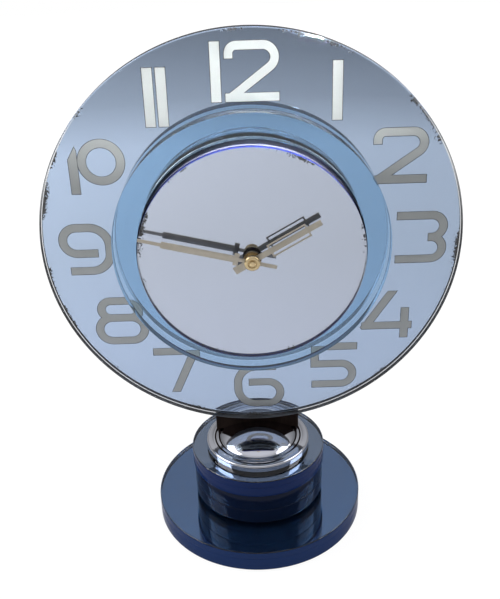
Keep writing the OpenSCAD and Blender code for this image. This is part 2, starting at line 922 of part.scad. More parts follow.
module minute_arbor() {
    color("gold") {
        depth_rod(0, 0, arbor_tip_y, motor_y + arbor_seat - arbor_tip_y, arbor_r);
        gear(cannon_teeth, 0, 0, wheel_b_y, gear_t, cannon_turn);
    }
}

module minute_wheel() {
    color("goldenrod")
    difference() {
        union() {
            gear(wheel_teeth, wheel_x, wheel_dz, wheel_b_y, gear_t, wheel_turn);
            gear(pinion_teeth, wheel_x, wheel_dz, wheel_a_y, gear_t, pinion_turn);
            depth_rod(wheel_x, wheel_dz, wheel_a_y + gear_t - eps, wheel_b_y - wheel_a_y - gear_t + 2 * eps,
                      gear_module * pinion_teeth / 2 - 1.2 * gear_module);
        }
        depth_rod(wheel_x, wheel_dz, wheel_a_y - eps, wheel_b_y + gear_t - wheel_a_y + 2 * eps,
                  stud_r + run_gap);
    }
}

module hour_wheel() {
    color("goldenrod")
    difference() {
        union() {
            gear(hour_teeth, 0, 0, wheel_a_y, gear_t, hour_turn);
            depth_rod(0, 0, pipe_end_y, wheel_a_y - pipe_end_y + eps, pipe_r);
        }
        depth_rod(0, 0, pipe_end_y - eps, wheel_a_y + gear_t - pipe_end_y + 2 * eps, bore_r);
    }
}

module set_arbor() {
    color("silver") {
        depth_rod(set_x, set_dz, case_in_y - 0.8, cover_y + cover_t + 0.4 + knob_h * 0.7 - case_in_y + 0.8,
                  set_r);
        gear(set_teeth, set_x, set_dz, wheel_b_y, gear_t, set_turn);
    }
}

module set_knob() {
    flutes = 20;
    color("#26262a")
    difference() {
        depth_rod(set_x, set_dz, cover_y + cover_t + 0.4, knob_h, knob_d / 2);
        depth_rod(set_x, set_dz, cover_y + cover_t + 0.4 - eps, knob_h * 0.7 + eps, set_r);
        for (i = [0:flutes - 1])
            depth_rod(set_x + knob_d / 2 * cos(i * 360 / flutes),
                      set_dz + knob_d / 2 * sin(i * 360 / flutes),
                      cover_y + cover_t + 1.4, knob_h, 0.55);
    }
}

// ---------------------------------------------------------------- hands

hour_boss_r = pipe_r + 1.1;
minute_boss_r = arbor_r + 1.9;
rail_end_w = 1;
cross_t = 3;
neck_t = 2.2;

// Outline of the hour hand, drawn along +X
module hour_hand_shape() {
    translate([0, -hour_w / 2]) square([hour_len, hour_w]);
    for (side = [-1, 1])
        translate([rails_start, side * (rails_w - rail_w) / 2 - rail_w / 2])
            square([rails_end - rails_start, rail_w]);
    for (x = [rails_start, rails_end - rail_end_w])
        translate([x, -rails_w / 2]) square([rail_end_w, rails_w]);
    translate([-hour_tail, -hour_tail_w / 2]) square([hour_tail, hour_tail_w]);
    circle(r = hour_boss_r);
}

module minute_hand_shape() {
    translate([-minute_tail, -minute_tail_w / 2]) square([minute_tail, minute_tail_w]);
    translate([0, -neck_t / 2]) square([cross_at, neck_t]);
    translate([cross_at - cross_t / 2, -cross_w / 2]) square([cross_t, cross_w]);
    translate([cross_at, -minute_w / 2]) square([minute_len - minute_tip - cross_at, minute_w]);
    translate([cross_at, -minute_tip_w / 2]) square([minute_len - cross_at, minute_tip_w]);
    circle(r = minute_boss_r);
}

module hour_hand() {
    color("tan")
    difference() {
        union() {
            at_dial(hour_hand_y, hand_t) rotate(90 - hour_angle) hour_hand_shape();
            dial_disc(hour_hand_y, boss_t, hour_boss_r);
        }
        dial_disc(hour_hand_y - eps, boss_t + 2 * eps, pipe_r);
    }
}

module minute_hand() {
    color("tan")
    difference() {
        union() {
            at_dial(minute_hand_y, hand_t) rotate(90 - minute_angle) minute_hand_shape();
            dial_disc(minute_hand_y, boss_t, minute_boss_r);
        }
        dial_disc(minute_hand_y - eps, boss_t + 2 * eps, arbor_r);
    }
}

module hand_nut() {
    color("darkgoldenrod")
    difference() {
        translate([0, nut_y + nut_t, dial_z]) rotate([90, 0, 0]) rotate_extrude()
            polygon([[0, 0], [nut_d / 2, 0], [nut_d / 2, nut_t - 0.6], [nut_d / 2 - 0.6, nut_t],
                     [arbor_r + 1.2, nut_t], [arbor_r + 0.8, nut_t - 0.5], [0, nut_t - 0.5]]);
        dial_disc(nut_y - eps, nut_t + 2 * eps, arbor_r);
    }
}

base_felt();
base_slab();
base_glass();
column_lower_disc();
column_middle_disc();
column_upper_disc();
column_top_glass();
cap_core();
chrome_cap();
neck_block();
tie_rods();
tie_washers();
tie_nuts();
back_board();
board_screws();
dial_backing();
numerals();
dial_glass();
ring_glass();
mirror_drum();
centre_mirror();
face_washer();
bush_nut();
seal_washer();
threaded_bush();
movement_case();
wheel_stud();
motor_module();
battery();
battery_contacts();
movement_cover();
cover_screws();
minute_wheel();
set_arbor();
set_knob();
hour_wheel();
hour_hand();
minute_arbor();
minute_hand();
hand_nut();
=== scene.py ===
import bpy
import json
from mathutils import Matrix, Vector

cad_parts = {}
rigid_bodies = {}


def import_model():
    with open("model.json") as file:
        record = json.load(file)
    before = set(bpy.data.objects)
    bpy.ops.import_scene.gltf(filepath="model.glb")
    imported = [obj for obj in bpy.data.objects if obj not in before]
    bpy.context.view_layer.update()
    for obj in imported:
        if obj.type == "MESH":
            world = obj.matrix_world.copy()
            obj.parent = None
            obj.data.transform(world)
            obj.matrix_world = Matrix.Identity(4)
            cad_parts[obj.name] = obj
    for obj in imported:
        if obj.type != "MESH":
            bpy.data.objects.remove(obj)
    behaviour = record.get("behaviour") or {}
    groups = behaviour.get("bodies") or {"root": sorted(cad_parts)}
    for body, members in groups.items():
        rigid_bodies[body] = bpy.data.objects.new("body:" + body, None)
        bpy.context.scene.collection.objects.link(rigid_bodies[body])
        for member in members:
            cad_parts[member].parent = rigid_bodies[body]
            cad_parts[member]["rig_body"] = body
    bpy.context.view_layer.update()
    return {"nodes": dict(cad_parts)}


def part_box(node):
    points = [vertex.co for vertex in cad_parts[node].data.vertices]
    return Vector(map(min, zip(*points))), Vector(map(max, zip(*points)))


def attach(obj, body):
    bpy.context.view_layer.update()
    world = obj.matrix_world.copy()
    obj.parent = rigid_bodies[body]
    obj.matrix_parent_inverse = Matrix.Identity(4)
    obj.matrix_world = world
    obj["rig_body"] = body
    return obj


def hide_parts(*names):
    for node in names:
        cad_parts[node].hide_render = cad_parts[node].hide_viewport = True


bl_info = {
    "name": "Mirror Glass Table Clock",
    "version": (1, 0, 0),
    "blender": (4, 5, 0),
    "location": "View3D > Sidebar > Clock",
    "description": "Gives a mirror-glass table clock its glass, silvering, metal and wood",
    "category": "Add Mesh",
}

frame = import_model()

import json
import math

import bpy
from mathutils import Matrix, Vector

NODES = frame["nodes"]
MM = 0.001
GAP = 0.03 * MM  # air between a glass and the silver behind it
SUPPORT = 0.05 * MM  # width of the flat band beside a rounded edge
WELD = 1e-6  # metres under which two points are one
SMOOTH = math.radians(38)  # edges flatter than this are shaded smooth
FINE_ROUND = 0.15 * MM  # rounding where a glass meets the disc under it
DISC_STEPS, DIAL_STEPS = 192, 224  # sides of the small and of the large turned pieces


def middle(node):
    low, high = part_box(node)
    return (low + high) / 2


def outer_radius(node):
    low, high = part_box(node)
    return (high.x - low.x) / 2


DIAL = middle("dial_glass")
DIAL_AXIS = Vector((DIAL.x, 0, DIAL.z))
BUSH_HOLE = outer_radius("threaded_bush") + 0.3 * MM


def from_dial_axis(point):
    return math.hypot(point.x - DIAL.x, point.z - DIAL.z)


def is_rim(radius):
    """Picks the faces on the upright side of a round piece of that radius."""
    return lambda c, n: abs(n.z) < 0.3 and math.hypot(c.x, c.y) > radius - 0.1 * MM


# ------------------------------------------------------------------ sizes and colours


class ClockGlassSettings(bpy.types.PropertyGroup):
    plate_color: bpy.props.FloatVectorProperty(
        name="Dial glass", description="Colour that the dial's glass gives to light at one face",
        subtype="COLOR", size=3, default=(0.93, 0.955, 0.975))
    # Dark tint of the dial rim: the worked edge's colour, darkened as painted shade and given only
    # to the lower rim.
    rim_color: bpy.props.FloatVectorProperty(
        name="Dial rim", description="Tint of the worked edge of the dial glass",
        subtype="COLOR", size=3, default=(0.085, 0.090, 0.10))
    ring_wall: bpy.props.FloatVectorProperty(
        name="Ring wall", description="Tint of the ground inner wall of the glass ring",
        subtype="COLOR", size=3, default=(0.13, 0.18, 0.34))
    plate_silver: bpy.props.FloatVectorProperty(
        name="Dial silver", description="Colour of the silvering behind the dial glass",
        subtype="COLOR", size=3, default=(0.57, 0.68, 0.86))
    ring_color: bpy.props.FloatVectorProperty(
        name="Ring glass", description="Colour that the raised ring gives to light at one face",
        subtype="COLOR", size=3, default=(0.70, 0.86, 0.97))
    centre_silver: bpy.props.FloatVectorProperty(
        name="Centre silver", description="Colour of the silvering behind the centre mirror",
        subtype="COLOR", size=3, default=(0.63, 0.69, 0.81))
    base_silver: bpy.props.FloatVectorProperty(
        name="Base silver", description="Colour of the silvering under the base glass",
        subtype="COLOR", size=3, default=(0.055, 0.175, 0.40))
    column_silver: bpy.props.FloatVectorProperty(
        name="Column silver", description="Colour of the silvering under the column's top glass",
        subtype="COLOR", size=3, default=(0.19, 0.265, 0.40))
    ior: bpy.props.FloatProperty(
        name="Refraction", description="Index of refraction of the glass",
        default=1.52, min=1.3, max=1.8)
    polish: bpy.props.FloatProperty(
        name="Edge polish", description="Radius of the polished edges of the glass",
        default=0.8 * MM, min=0.2 * MM, max=2 * MM, unit="LENGTH")
    foxing: bpy.props.FloatProperty(
        name="Foxing", description="How far dark spots reach in from a mirror's rim",
        default=7 * MM, min=0.0, max=30 * MM, unit="LENGTH")


class ClockMetalSettings(bpy.types.PropertyGroup):
    # Numerals: the lower ones keep this darker colour as painted shade, and the upper ones turn to
    # the next, brighter colour as painted light from above.
    numeral: bpy.props.FloatVectorProperty(
        name="Numerals", description="Colour of the inlaid numerals",
        subtype="COLOR", size=3, default=(0.45, 0.455, 0.44))
    clean: bpy.props.FloatVectorProperty(
        name="Painted-lit numerals", description="Colour of the upper, painted-lit numerals",
        subtype="COLOR", size=3, default=(0.86, 0.87, 0.83))
    chrome: bpy.props.FloatVectorProperty(
        name="Chrome", description="Colour of the plated cap", subtype="COLOR", size=3,
        default=(0.66, 0.67, 0.73))
    hands: bpy.props.FloatVectorProperty(
        name="Hands", description="Colour of the hands", subtype="COLOR", size=3,
        default=(0.50, 0.46, 0.39))
    brass: bpy.props.FloatVectorProperty(
        name="Brass", description="Colour of the brass fittings", subtype="COLOR", size=3,
        default=(0.66, 0.52, 0.30))
    steel: bpy.props.FloatVectorProperty(
        name="Steel", description="Colour of rods, nuts and screws", subtype="COLOR", size=3,
        default=(0.45, 0.45, 0.46))


class ClockBodySettings(bpy.types.PropertyGroup):
    edge_navy: bpy.props.FloatVectorProperty(
        name="Base edge", description="Colour of the base's lacquered edge",
        subtype="COLOR", size=3, default=(0.011, 0.034, 0.125))
    disc_navy: bpy.props.FloatVectorProperty(
        name="Upper disc", description="Colour of the column's upper disc",
        subtype="COLOR", size=3, default=(0.008, 0.024, 0.105))
    disc_dark: bpy.props.FloatVectorProperty(
        name="Dark discs", description="Colour of the column's two lower discs", subtype="COLOR",
        size=3, default=(0.004, 0.009, 0.030))
    neck: bpy.props.FloatVectorProperty(
        name="Neck", description="Colour of the stained neck", subtype="COLOR", size=3,
        default=(0.016, 0.010, 0.008))
    board: bpy.props.FloatVectorProperty(
        name="Board", description="Colour of the wooden back board", subtype="COLOR", size=3,
        default=(0.115, 0.062, 0.034))
    edge_round: bpy.props.FloatProperty(
        name="Disc edges", description="Radius of the rounded edges of the discs",
        default=0.6 * MM, min=0.1 * MM, max=2 * MM, unit="LENGTH")


class ClockStageSettings(bpy.types.PropertyGroup):
    floor_radius: bpy.props.FloatProperty(
        name="Floor", description="Radius of the pale floor",
        default=2.4, min=0.5, max=4, unit="LENGTH")
    camera_distance: bpy.props.FloatProperty(
        name="Camera distance", description="How far the camera stands in front of the dial",
        default=0.466, min=0.3, max=2, unit="LENGTH")
    camera_height: bpy.props.FloatProperty(
        name="Camera height", description="Height of the camera over the floor",
        default=0.3986, min=0.1, max=2, unit="LENGTH")
    camera_pitch: bpy.props.FloatProperty(
        name="Camera pitch", description="How far the camera looks down",
        default=math.radians(27.2), min=0, max=1.5, subtype="ANGLE")
    camera_roll: bpy.props.FloatProperty(
        name="Camera roll", description="How far the camera is rolled", default=math.radians(-1.8),
        min=-0.3, max=0.3, subtype="ANGLE")
    lens: bpy.props.FloatProperty(
        name="Lens", description="Focal length of the camera", default=50.6, min=20, max=200)
    camera_shift: bpy.props.FloatProperty(
        name="Camera shift", description="How far the picture is shifted sideways, in widths",
        default=-0.005843, min=-0.1, max=0.1)


# ------------------------------------------------------------------ modelling by hand


def clear_selection():
    if bpy.context.object and bpy.context.object.mode != "OBJECT":
        bpy.ops.object.mode_set(mode="OBJECT")
    bpy.ops.object.select_all(action="DESELECT")


def take(obj):
    clear_selection()
    obj.select_set(True)
    bpy.context.view_layer.objects.active = obj
    return obj


def corner(radius, height, size, start, steps):
    """Points of a quarter round about (radius, height), from the angle start a quarter turn on."""
    turn = math.pi / 2
    return [(radius + size * math.cos(start + turn * i / steps),
             height + size * math.sin(start + turn * i / steps)) for i in range(steps + 1)]


def disc_outline(radius, low, high, round_low, round_high, steps=6):
    """Half outline of a disc with rounded edges, from its lower face to its upper one."""
    return ([(radius - round_low - SUPPORT, low)]
            + corner(radius - round_low, low + round_low, round_low, -math.pi / 2, steps)
            + corner(radius - round_high, high - round_high, round_high, 0, steps)
            + [(radius - round_high - SUPPORT, high)])


def ring_outline(inner, radius, low, high, size, steps):
    """Whole outline of a flat ring with rounded outer edges and small inner ones."""
    small, small_steps = min(size, 0.3 * MM), 3
    outer = disc_outline(radius, low, high, size, size, steps)
    inner_top = corner(inner + small, high - small, small, math.pi / 2, small_steps)
    inner_low = corner(inner + small, low + small, small, math.pi, small_steps)
    outline = (outer + [(inner + small + SUPPORT, high)] + inner_top + inner_low
               + [(inner + small + SUPPORT, low)])
    return outline + [outline[0]]


def film_outline(inner, outer, low, high):
    """Whole outline of a thin flat ring."""
    return [(inner, high), (outer, high), (outer, low), (inner, low), (inner, high)]


def turn_profile(name, outline, steps, facing=None):
    """Turns an outline of (radius, height) points into a closed solid about an upright axis.

    A circle is drawn at the first point and pushed out or in from point to point. Without
    facing, both its ends are filled. With facing, the outline is a closed loop, and the solid
    is laid over so that its height runs towards -Y from that point."""
    solid = facing is None
    clear_selection()
    first, height = outline[0]
    bpy.ops.mesh.primitive_circle_add(
        vertices=steps, radius=first, fill_type="NGON" if solid else "NOTHING",
        location=(0, 0, height))
    obj = bpy.context.object
    obj.name = obj.data.name = name
    bpy.ops.object.transform_apply(location=True, rotation=True, scale=True)
    bpy.ops.object.mode_set(mode="EDIT")
    bpy.ops.mesh.select_all(action="SELECT")
    bpy.ops.mesh.select_mode(type="EDGE")
    if solid:
        bpy.ops.mesh.region_to_loop()
    for (ra, ha), (rb, hb) in zip(outline, outline[1:]):
        bpy.ops.mesh.extrude_edges_move(TRANSFORM_OT_translate={"value": (0, 0, hb - ha)})
        bpy.ops.transform.resize(value=(rb / ra, rb / ra, 1), center_override=(0, 0, hb))
    if solid:
        bpy.ops.mesh.edge_face_add()
    bpy.ops.mesh.select_all(action="SELECT")
    if not solid:
        bpy.ops.mesh.remove_doubles(threshold=WELD)
    bpy.ops.mesh.normals_make_consistent(inside=False)
    bpy.ops.object.mode_set(mode="OBJECT")
    if not solid:
        obj.rotation_euler = (math.pi / 2, 0, 0)
        obj.location = facing
        bpy.ops.object.transform_apply(location=True, rotation=True, scale=True)
    bpy.ops.object.shade_smooth_by_angle(angle=SMOOTH)
    return obj


def softened(node, name, width, material, slot, segments=2):
    """A copy of a CAD node with its corners eased, which stands for it."""
    source = NODES[node]
    clear_selection()
    obj = bpy.data.objects.new(name, source.data.copy())
    bpy.context.scene.collection.objects.link(obj)
    take(obj)
    bpy.ops.object.mode_set(mode="EDIT")
    bpy.ops.mesh.select_all(action="SELECT")
    bpy.ops.mesh.remove_doubles(threshold=WELD)
    bpy.ops.mesh.dissolve_limited(angle_limit=math.radians(0.5))
    bpy.ops.object.mode_set(mode="OBJECT")
    bevel = obj.modifiers.new("Eased edges", "BEVEL")
    bevel.width = width
    bevel.segments = segments
    bevel.limit_method = "ANGLE"
    bevel.angle_limit = math.radians(30)
    bevel.harden_normals = False
    bpy.ops.object.modifier_apply(modifier=bevel.name)
    bpy.ops.object.shade_smooth_by_angle(angle=SMOOTH)
    finish_piece(obj, source["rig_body"], material, slot, node)


def finish_piece(obj, body, material, slot, *replaced):
    if not isinstance(material, (list, tuple)):
        material = [material]
    obj.data.materials.clear()
    for m in material:
        obj.data.materials.append(m)
    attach(obj, body)
    if replaced:
        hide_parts(*replaced)


def paint_faces(obj, index, wanted):
    """Gives the faces that wanted(centre, normal) picks another of the piece's materials."""
    for face in obj.data.polygons:
        if wanted(face.center, face.normal):
            face.material_index = index


def cad_finish(material, *nodes):
    for node in nodes:
        obj = NODES[node]
        obj.data.materials.clear()
        obj.data.materials.append(material)


# ------------------------------------------------------------------ shared shader groups


def new_group(name, inputs, outputs):
    group = bpy.data.node_groups.new(name, "ShaderNodeTree")
    for label, kind, value in inputs:
        socket = group.interface.new_socket(name=label, in_out="INPUT", socket_type=kind)
        if value is not None:
            socket.default_value = value
    for label, kind in outputs:
        group.interface.new_socket(name=label, in_out="OUTPUT", socket_type=kind)
    return group, group.nodes.new("NodeGroupInput"), group.nodes.new("NodeGroupOutput")


def node(tree, kind, links, **values):
    """Adds a shader node, sets its properties, and links or sets its inputs by name or number."""
    made = tree.nodes.new(kind)
    for key, value in values.items():
        setattr(made, key, value)
    for key, value in links.items():
        if isinstance(value, bpy.types.NodeSocket):
            tree.links.new(value, made.inputs[key])
        else:
            made.inputs[key].default_value = value
    return made


def math_node(tree, operation, a, b, clamp=False):
    made = node(tree, "ShaderNodeMath", {0: a, 1: b}, operation=operation, use_clamp=clamp)
    return made.outputs[0]


COLOR, FLOAT, VECTOR = "NodeSocketColor", "NodeSocketFloat", "NodeSocketVector"


def marks_group():
    """Faint rubbing and hand marks: a value that wanders between two limits."""
    group, inside, out = new_group("Fine Marks", [
        ("Vector", VECTOR, None), ("Scale", FLOAT, 60.0), ("Low", FLOAT, 0.0),
        ("High", FLOAT, 0.1)], [("Value", FLOAT)])
    broad = node(group, "ShaderNodeTexNoise", {
        "Vector": inside.outputs["Vector"], "Scale": inside.outputs["Scale"], "Detail": 5.0,
        "Roughness": 0.6})
    ranged = node(group, "ShaderNodeMapRange", {
        "Value": broad.outputs["Fac"], "From Min": 0.35, "From Max": 0.7,
        "To Min": inside.outputs["Low"], "To Max": inside.outputs["High"]})
    group.links.new(ranged.outputs["Result"], out.inputs["Value"])
    return group


def foxing_group():
    """Silvering that has gone dark in small spots, thickest near the rim."""
    group, inside, out = new_group("Foxed Silver", [
        ("Vector", VECTOR, None), ("Radius", FLOAT, 0.1), ("Reach", FLOAT, 0.01),
        ("Silver", COLOR, (0.8, 0.8, 0.8, 1)), ("Spot", COLOR, (0.01, 0.01, 0.012, 1)),
        ("Scale", FLOAT, 700.0), ("Amount", FLOAT, 0.5)],
        [("Color", COLOR), ("Metal", FLOAT), ("Roughness", FLOAT)])
    length = node(group, "ShaderNodeVectorMath", {0: inside.outputs["Vector"]}, operation="LENGTH")
    inward = math_node(group, "SUBTRACT", inside.outputs["Radius"], length.outputs["Value"])
    near = math_node(group, "DIVIDE", inward, inside.outputs["Reach"])
    near = math_node(group, "SUBTRACT", 1.0, near, clamp=True)
    patches = node(group, "ShaderNodeTexNoise", {
        "Vector": inside.outputs["Vector"], "Scale": 45.0, "Detail": 3.0})
    patch = node(group, "ShaderNodeMapRange", {
        "Value": patches.outputs["Fac"], "From Min": 0.42, "From Max": 0.66}).outputs["Result"]
    likely = math_node(group, "MULTIPLY", math_node(group, "POWER", near, 1.6), patch)
    likely = math_node(group, "MULTIPLY", likely, inside.outputs["Amount"])
    likely = math_node(group, "ADD", likely, 0.012)
    specks = node(group, "ShaderNodeTexNoise", {
        "Vector": inside.outputs["Vector"], "Scale": inside.outputs["Scale"], "Detail": 4.0,
        "Roughness": 0.65})
    level = math_node(group, "SUBTRACT", 0.80, math_node(group, "MULTIPLY", likely, 0.62))
    spot = math_node(group, "SUBTRACT", specks.outputs["Fac"], level)
    spot = math_node(group, "MULTIPLY", spot, 26.0, clamp=True)
    color = node(group, "ShaderNodeMix", {
        0: spot, 6: inside.outputs["Silver"], 7: inside.outputs["Spot"]}, data_type="RGBA")
    group.links.new(color.outputs[2], out.inputs["Color"])
    group.links.new(math_node(group, "SUBTRACT", 1.0, spot), out.inputs["Metal"])
    group.links.new(math_node(group, "MULTIPLY", spot, 0.7), out.inputs["Roughness"])
    return group


def grain_group():
    """Straight wood grain along the piece's height."""
    group, inside, out = new_group("Wood Grain", [
        ("Vector", VECTOR, None), ("Light", COLOR, (0.3, 0.2, 0.1, 1)),
        ("Dark", COLOR, (0.1, 0.06, 0.03, 1)), ("Scale", FLOAT, 1.0)],
        [("Color", COLOR), ("Height", FLOAT)])
    stretch = node(group, "ShaderNodeVectorMath", {
        0: inside.outputs["Vector"], 1: (90.0, 90.0, 7.0)}, operation="MULTIPLY")
    scaled = node(group, "ShaderNodeVectorMath", {
        0: stretch.outputs[0], "Scale": inside.outputs["Scale"]}, operation="SCALE")
    bands = node(group, "ShaderNodeTexNoise", {
        "Vector": scaled.outputs[0], "Scale": 1.0, "Detail": 8.0, "Roughness": 0.62,
        "Distortion": 0.6})
    pores = node(group, "ShaderNodeTexNoise", {
        "Vector": scaled.outputs[0], "Scale": 11.0, "Detail": 2.0})
    both = math_node(group, "ADD", math_node(group, "MULTIPLY", bands.outputs["Fac"], 0.75),
                     math_node(group, "MULTIPLY", pores.outputs["Fac"], 0.25))
    ramp = node(group, "ShaderNodeMapRange", {"Value": both, "From Min": 0.38, "From Max": 0.62})
    color = node(group, "ShaderNodeMix", {
        0: ramp.outputs["Result"], 6: inside.outputs["Dark"], 7: inside.outputs["Light"]},
        data_type="RGBA")
    group.links.new(color.outputs[2], out.inputs["Color"])
    group.links.new(both, out.inputs["Height"])
    return group


def wear_group():
    """A brighter or darker tone where a piece's edges have been rubbed."""
    group, inside, out = new_group("Edge Wear", [
        ("Vector", VECTOR, None), ("Pointiness", FLOAT, 0.5), ("Body", COLOR, (0.5, 0.5, 0.5, 1)),
        ("Edge", COLOR, (0.8, 0.8, 0.8, 1)), ("Amount", FLOAT, 0.5)],
        [("Color", COLOR), ("Mask", FLOAT)])
    edge = node(group, "ShaderNodeMapRange", {
        "Value": inside.outputs["Pointiness"], "From Min": 0.51, "From Max": 0.58})
    noise = node(group, "ShaderNodeTexNoise", {
        "Vector": inside.outputs["Vector"], "Scale": 260.0, "Detail": 4.0})
    broken = node(group, "ShaderNodeMapRange", {
        "Value": noise.outputs["Fac"], "From Min": 0.42, "From Max": 0.62})
    mask = math_node(group, "MULTIPLY", edge.outputs["Result"], broken.outputs["Result"])
    mask = math_node(group, "MULTIPLY", mask, inside.outputs["Amount"], clamp=True)
    color = node(group, "ShaderNodeMix", {
        0: mask, 6: inside.outputs["Body"], 7: inside.outputs["Edge"]}, data_type="RGBA")
    group.links.new(color.outputs[2], out.inputs["Color"])
    group.links.new(mask, out.inputs["Mask"])
    return group


GROUPS = {}


def shared(maker):
    if maker not in GROUPS:
        GROUPS[maker] = maker()
    return GROUPS[maker]


def use(tree, maker, links):
    """Adds the shared group that maker makes, and links or sets its inputs."""
    return node(tree, "ShaderNodeGroup", links, node_tree=shared(maker))


def rgba(color):
    return (color[0], color[1], color[2], 1.0)


def blank(name):
    """A new material, its tree, its shader and the piece's own coordinates."""
    material = bpy.data.materials.new(name)
    material.use_nodes = True
    tree = material.node_tree
    place = tree.nodes.new("ShaderNodeTexCoord").outputs["Object"]
    return material, tree, tree.nodes["Principled BSDF"], place


def centred(tree, place, centre, scale):
    """The place measured from centre, flattened along an axis where scale is nought."""
    moved = node(tree, "ShaderNodeMapping", {
        "Vector": place, "Location": tuple(-c * s for c, s in zip(centre, scale)), "Scale": scale})
    return moved.outputs["Vector"]


def bump(tree, shader, height, strength, distance):
    made = node(tree, "ShaderNodeBump", {
        "Height": height, "Strength": strength, "Distance": distance})
    tree.links.new(made.outputs["Normal"], shader.inputs["Normal"])


# ------------------------------------------------------------------ finishes


def worn(tree, shader, place, body, edge, amount):
    """Links the colour to body, turned towards edge where the piece's edges are rubbed."""
    pointiness = tree.nodes.new("ShaderNodeNewGeometry").outputs["Pointiness"]
    wear = use(tree, wear_group, {
        "Vector": place, "Pointiness": pointiness, "Body": body, "Edge": rgba(edge),
        "Amount": amount})
    tree.links.new(wear.outputs["Color"], shader.inputs["Base Color"])


def marked(tree, shader, place, scale, low, high):
    """Links the roughness to faint marks that wander between two limits."""
    marks = use(tree, marks_group, {"Vector": place, "Scale": scale, "Low": low, "High": high})
    tree.links.new(marks.outputs["Value"], shader.inputs["Roughness"])


def textured(tree, shader, place, scale, strength):
    fine = node(tree, "ShaderNodeTexNoise", {"Vector": place, "Scale": scale, "Detail": 2.0})
    bump(tree, shader, fine.outputs["Fac"], strength, 0.1 * MM)


def brighter(color, factor, lift):
    return tuple(min(1.0, c * factor + lift) for c in color)


def glass(name, color, low=0.0, high=0.012, scale=40.0):
    material, tree, shader, place = blank(name)
    shader.inputs["Base Color"].default_value = rgba(color)
    shader.inputs["Metallic"].default_value = 0.0
    shader.inputs["Transmission Weight"].default_value = 1.0
    shader.inputs["IOR"].default_value = bpy.context.scene.clock_glass.ior
    marked(tree, shader, place, scale, low, high)
    return material


def silver(name, color, centre, flat, radius, amount, share=1.0):
    """Silvering with dark spots near its rim. The share that does not mirror is plain paint."""
    material, tree, shader, place = blank(name)
    foxed = use(tree, foxing_group, {
        "Vector": centred(tree, place, centre, flat), "Radius": radius,
        "Reach": bpy.context.scene.clock_glass.foxing, "Silver": rgba(color), "Amount": amount})
    tree.links.new(foxed.outputs["Color"], shader.inputs["Base Color"])
    mirror = math_node(tree, "MULTIPLY", foxed.outputs["Metal"], share)
    tree.links.new(mirror, shader.inputs["Metallic"])
    marks = use(tree, marks_group, {"Vector": place, "Scale": 22.0, "Low": 0.006, "High": 0.027})
    rough = math_node(tree, "ADD", foxed.outputs["Roughness"], marks.outputs["Value"])
    tree.links.new(rough, shader.inputs["Roughness"])
    return material


def metal(name, color, low, high, scale=80.0, amount=0.5, grain=0.0):
    material, tree, shader, place = blank(name)
    shader.inputs["Metallic"].default_value = 1.0
    worn(tree, shader, place, rgba(color), brighter(color, 1.25, 0.03), amount)
    marked(tree, shader, place, scale, low, high)
    if grain:
        drawn = centred(tree, place, (0, 0, 0), (400, 400, 400))
        lines = node(tree, "ShaderNodeTexNoise", {"Vector": drawn, "Scale": 1.0, "Detail": 3.0})
        bump(tree, shader, lines.outputs["Fac"], grain, 0.2 * MM)
    return material


def lacquer(name, color, low, high, coat=0.0, edge=(0.03, 0.05, 0.11), amount=0.3, shine=0.22):
    material, tree, shader, place = blank(name)
    worn(tree, shader, place, rgba(color), edge, amount)
    marked(tree, shader, place, 70.0, low, high)
    shader.inputs["Coat Weight"].default_value = coat
    shader.inputs["Coat Roughness"].default_value = 0.03
    shader.inputs["Specular IOR Level"].default_value = shine
    textured(tree, shader, place, 900.0, 0.04)
    return material


def wood(name, color, rough, shine=0.4):
    material, tree, shader, place = blank(name)
    shader.inputs["Specular IOR Level"].default_value = shine
    spread = 0.45
    grain = use(tree, grain_group, {
        "Vector": place, "Light": rgba(brighter(color, 1 + spread, 0)),
        "Dark": rgba(brighter(color, 1 - spread, 0))})
    worn(tree, shader, place, grain.outputs["Color"], brighter(color, 2.4, 0), 0.5)
    marked(tree, shader, place, 45.0, rough * 0.8, rough * 1.3)
    bump(tree, shader, grain.outputs["Height"], 0.25, 0.3 * MM)
    return material


def moulded(name, color, rough):
    material, tree, shader, place = blank(name)
    worn(tree, shader, place, rgba(color), brighter(color, 2, 0.02), 0.35)
    marked(tree, shader, place, 55.0, rough * 0.8, rough * 1.2)
    textured(tree, shader, place, 1400.0, 0.15)
    return material


def felted(name, color):
    material, tree, shader, place = blank(name)
    fibres = node(tree, "ShaderNodeTexNoise", {
        "Vector": place, "Scale": 1800.0, "Detail": 5.0, "Roughness": 0.7, "Distortion": 1.2})
    shade = node(tree, "ShaderNodeMapRange", {
        "Value": fibres.outputs["Fac"], "From Min": 0.3, "From Max": 0.7})
    blend = node(tree, "ShaderNodeMix", {
        0: shade.outputs["Result"], 6: rgba(brighter(color, 0.6, 0)),
        7: rgba(brighter(color, 1.5, 0))}, data_type="RGBA")
    tree.links.new(blend.outputs[2], shader.inputs["Base Color"])
    shader.inputs["Roughness"].default_value = 0.95
    shader.inputs["Sheen Weight"].default_value = 0.4
    bump(tree, shader, fibres.outputs["Fac"], 0.5, 0.3 * MM)
    return material


def painted_light_above(material, color, low, high):
    """Turns a finish towards another colour between two heights; used to paint light on the upper
    numerals.
    """
    tree = material.node_tree
    socket = tree.nodes["Principled BSDF"].inputs["Base Color"]
    place = tree.nodes.new("ShaderNodeTexCoord").outputs["Object"]
    painted_light_share = node(tree, "ShaderNodeMapRange", {
        "Value": node(tree, "ShaderNodeSeparateXYZ", {0: place}).outputs["Z"],
        "From Min": low, "From Max": high})
    bright = node(tree, "ShaderNodeMix", {
        "Factor": painted_light_share.outputs["Result"], 6: socket.links[0].from_socket, 7: rgba(color)},
        data_type="RGBA")
    tree.links.new(bright.outputs[2], socket)


# ------------------------------------------------------------------ operators

GLASS_LIFT = 2.5 * GAP  # a mirror's glass stands this far off what carries it
FILM_LOW, FILM_HIGH = 0.6 * GAP, 1.5 * GAP  # and its silvering lies between


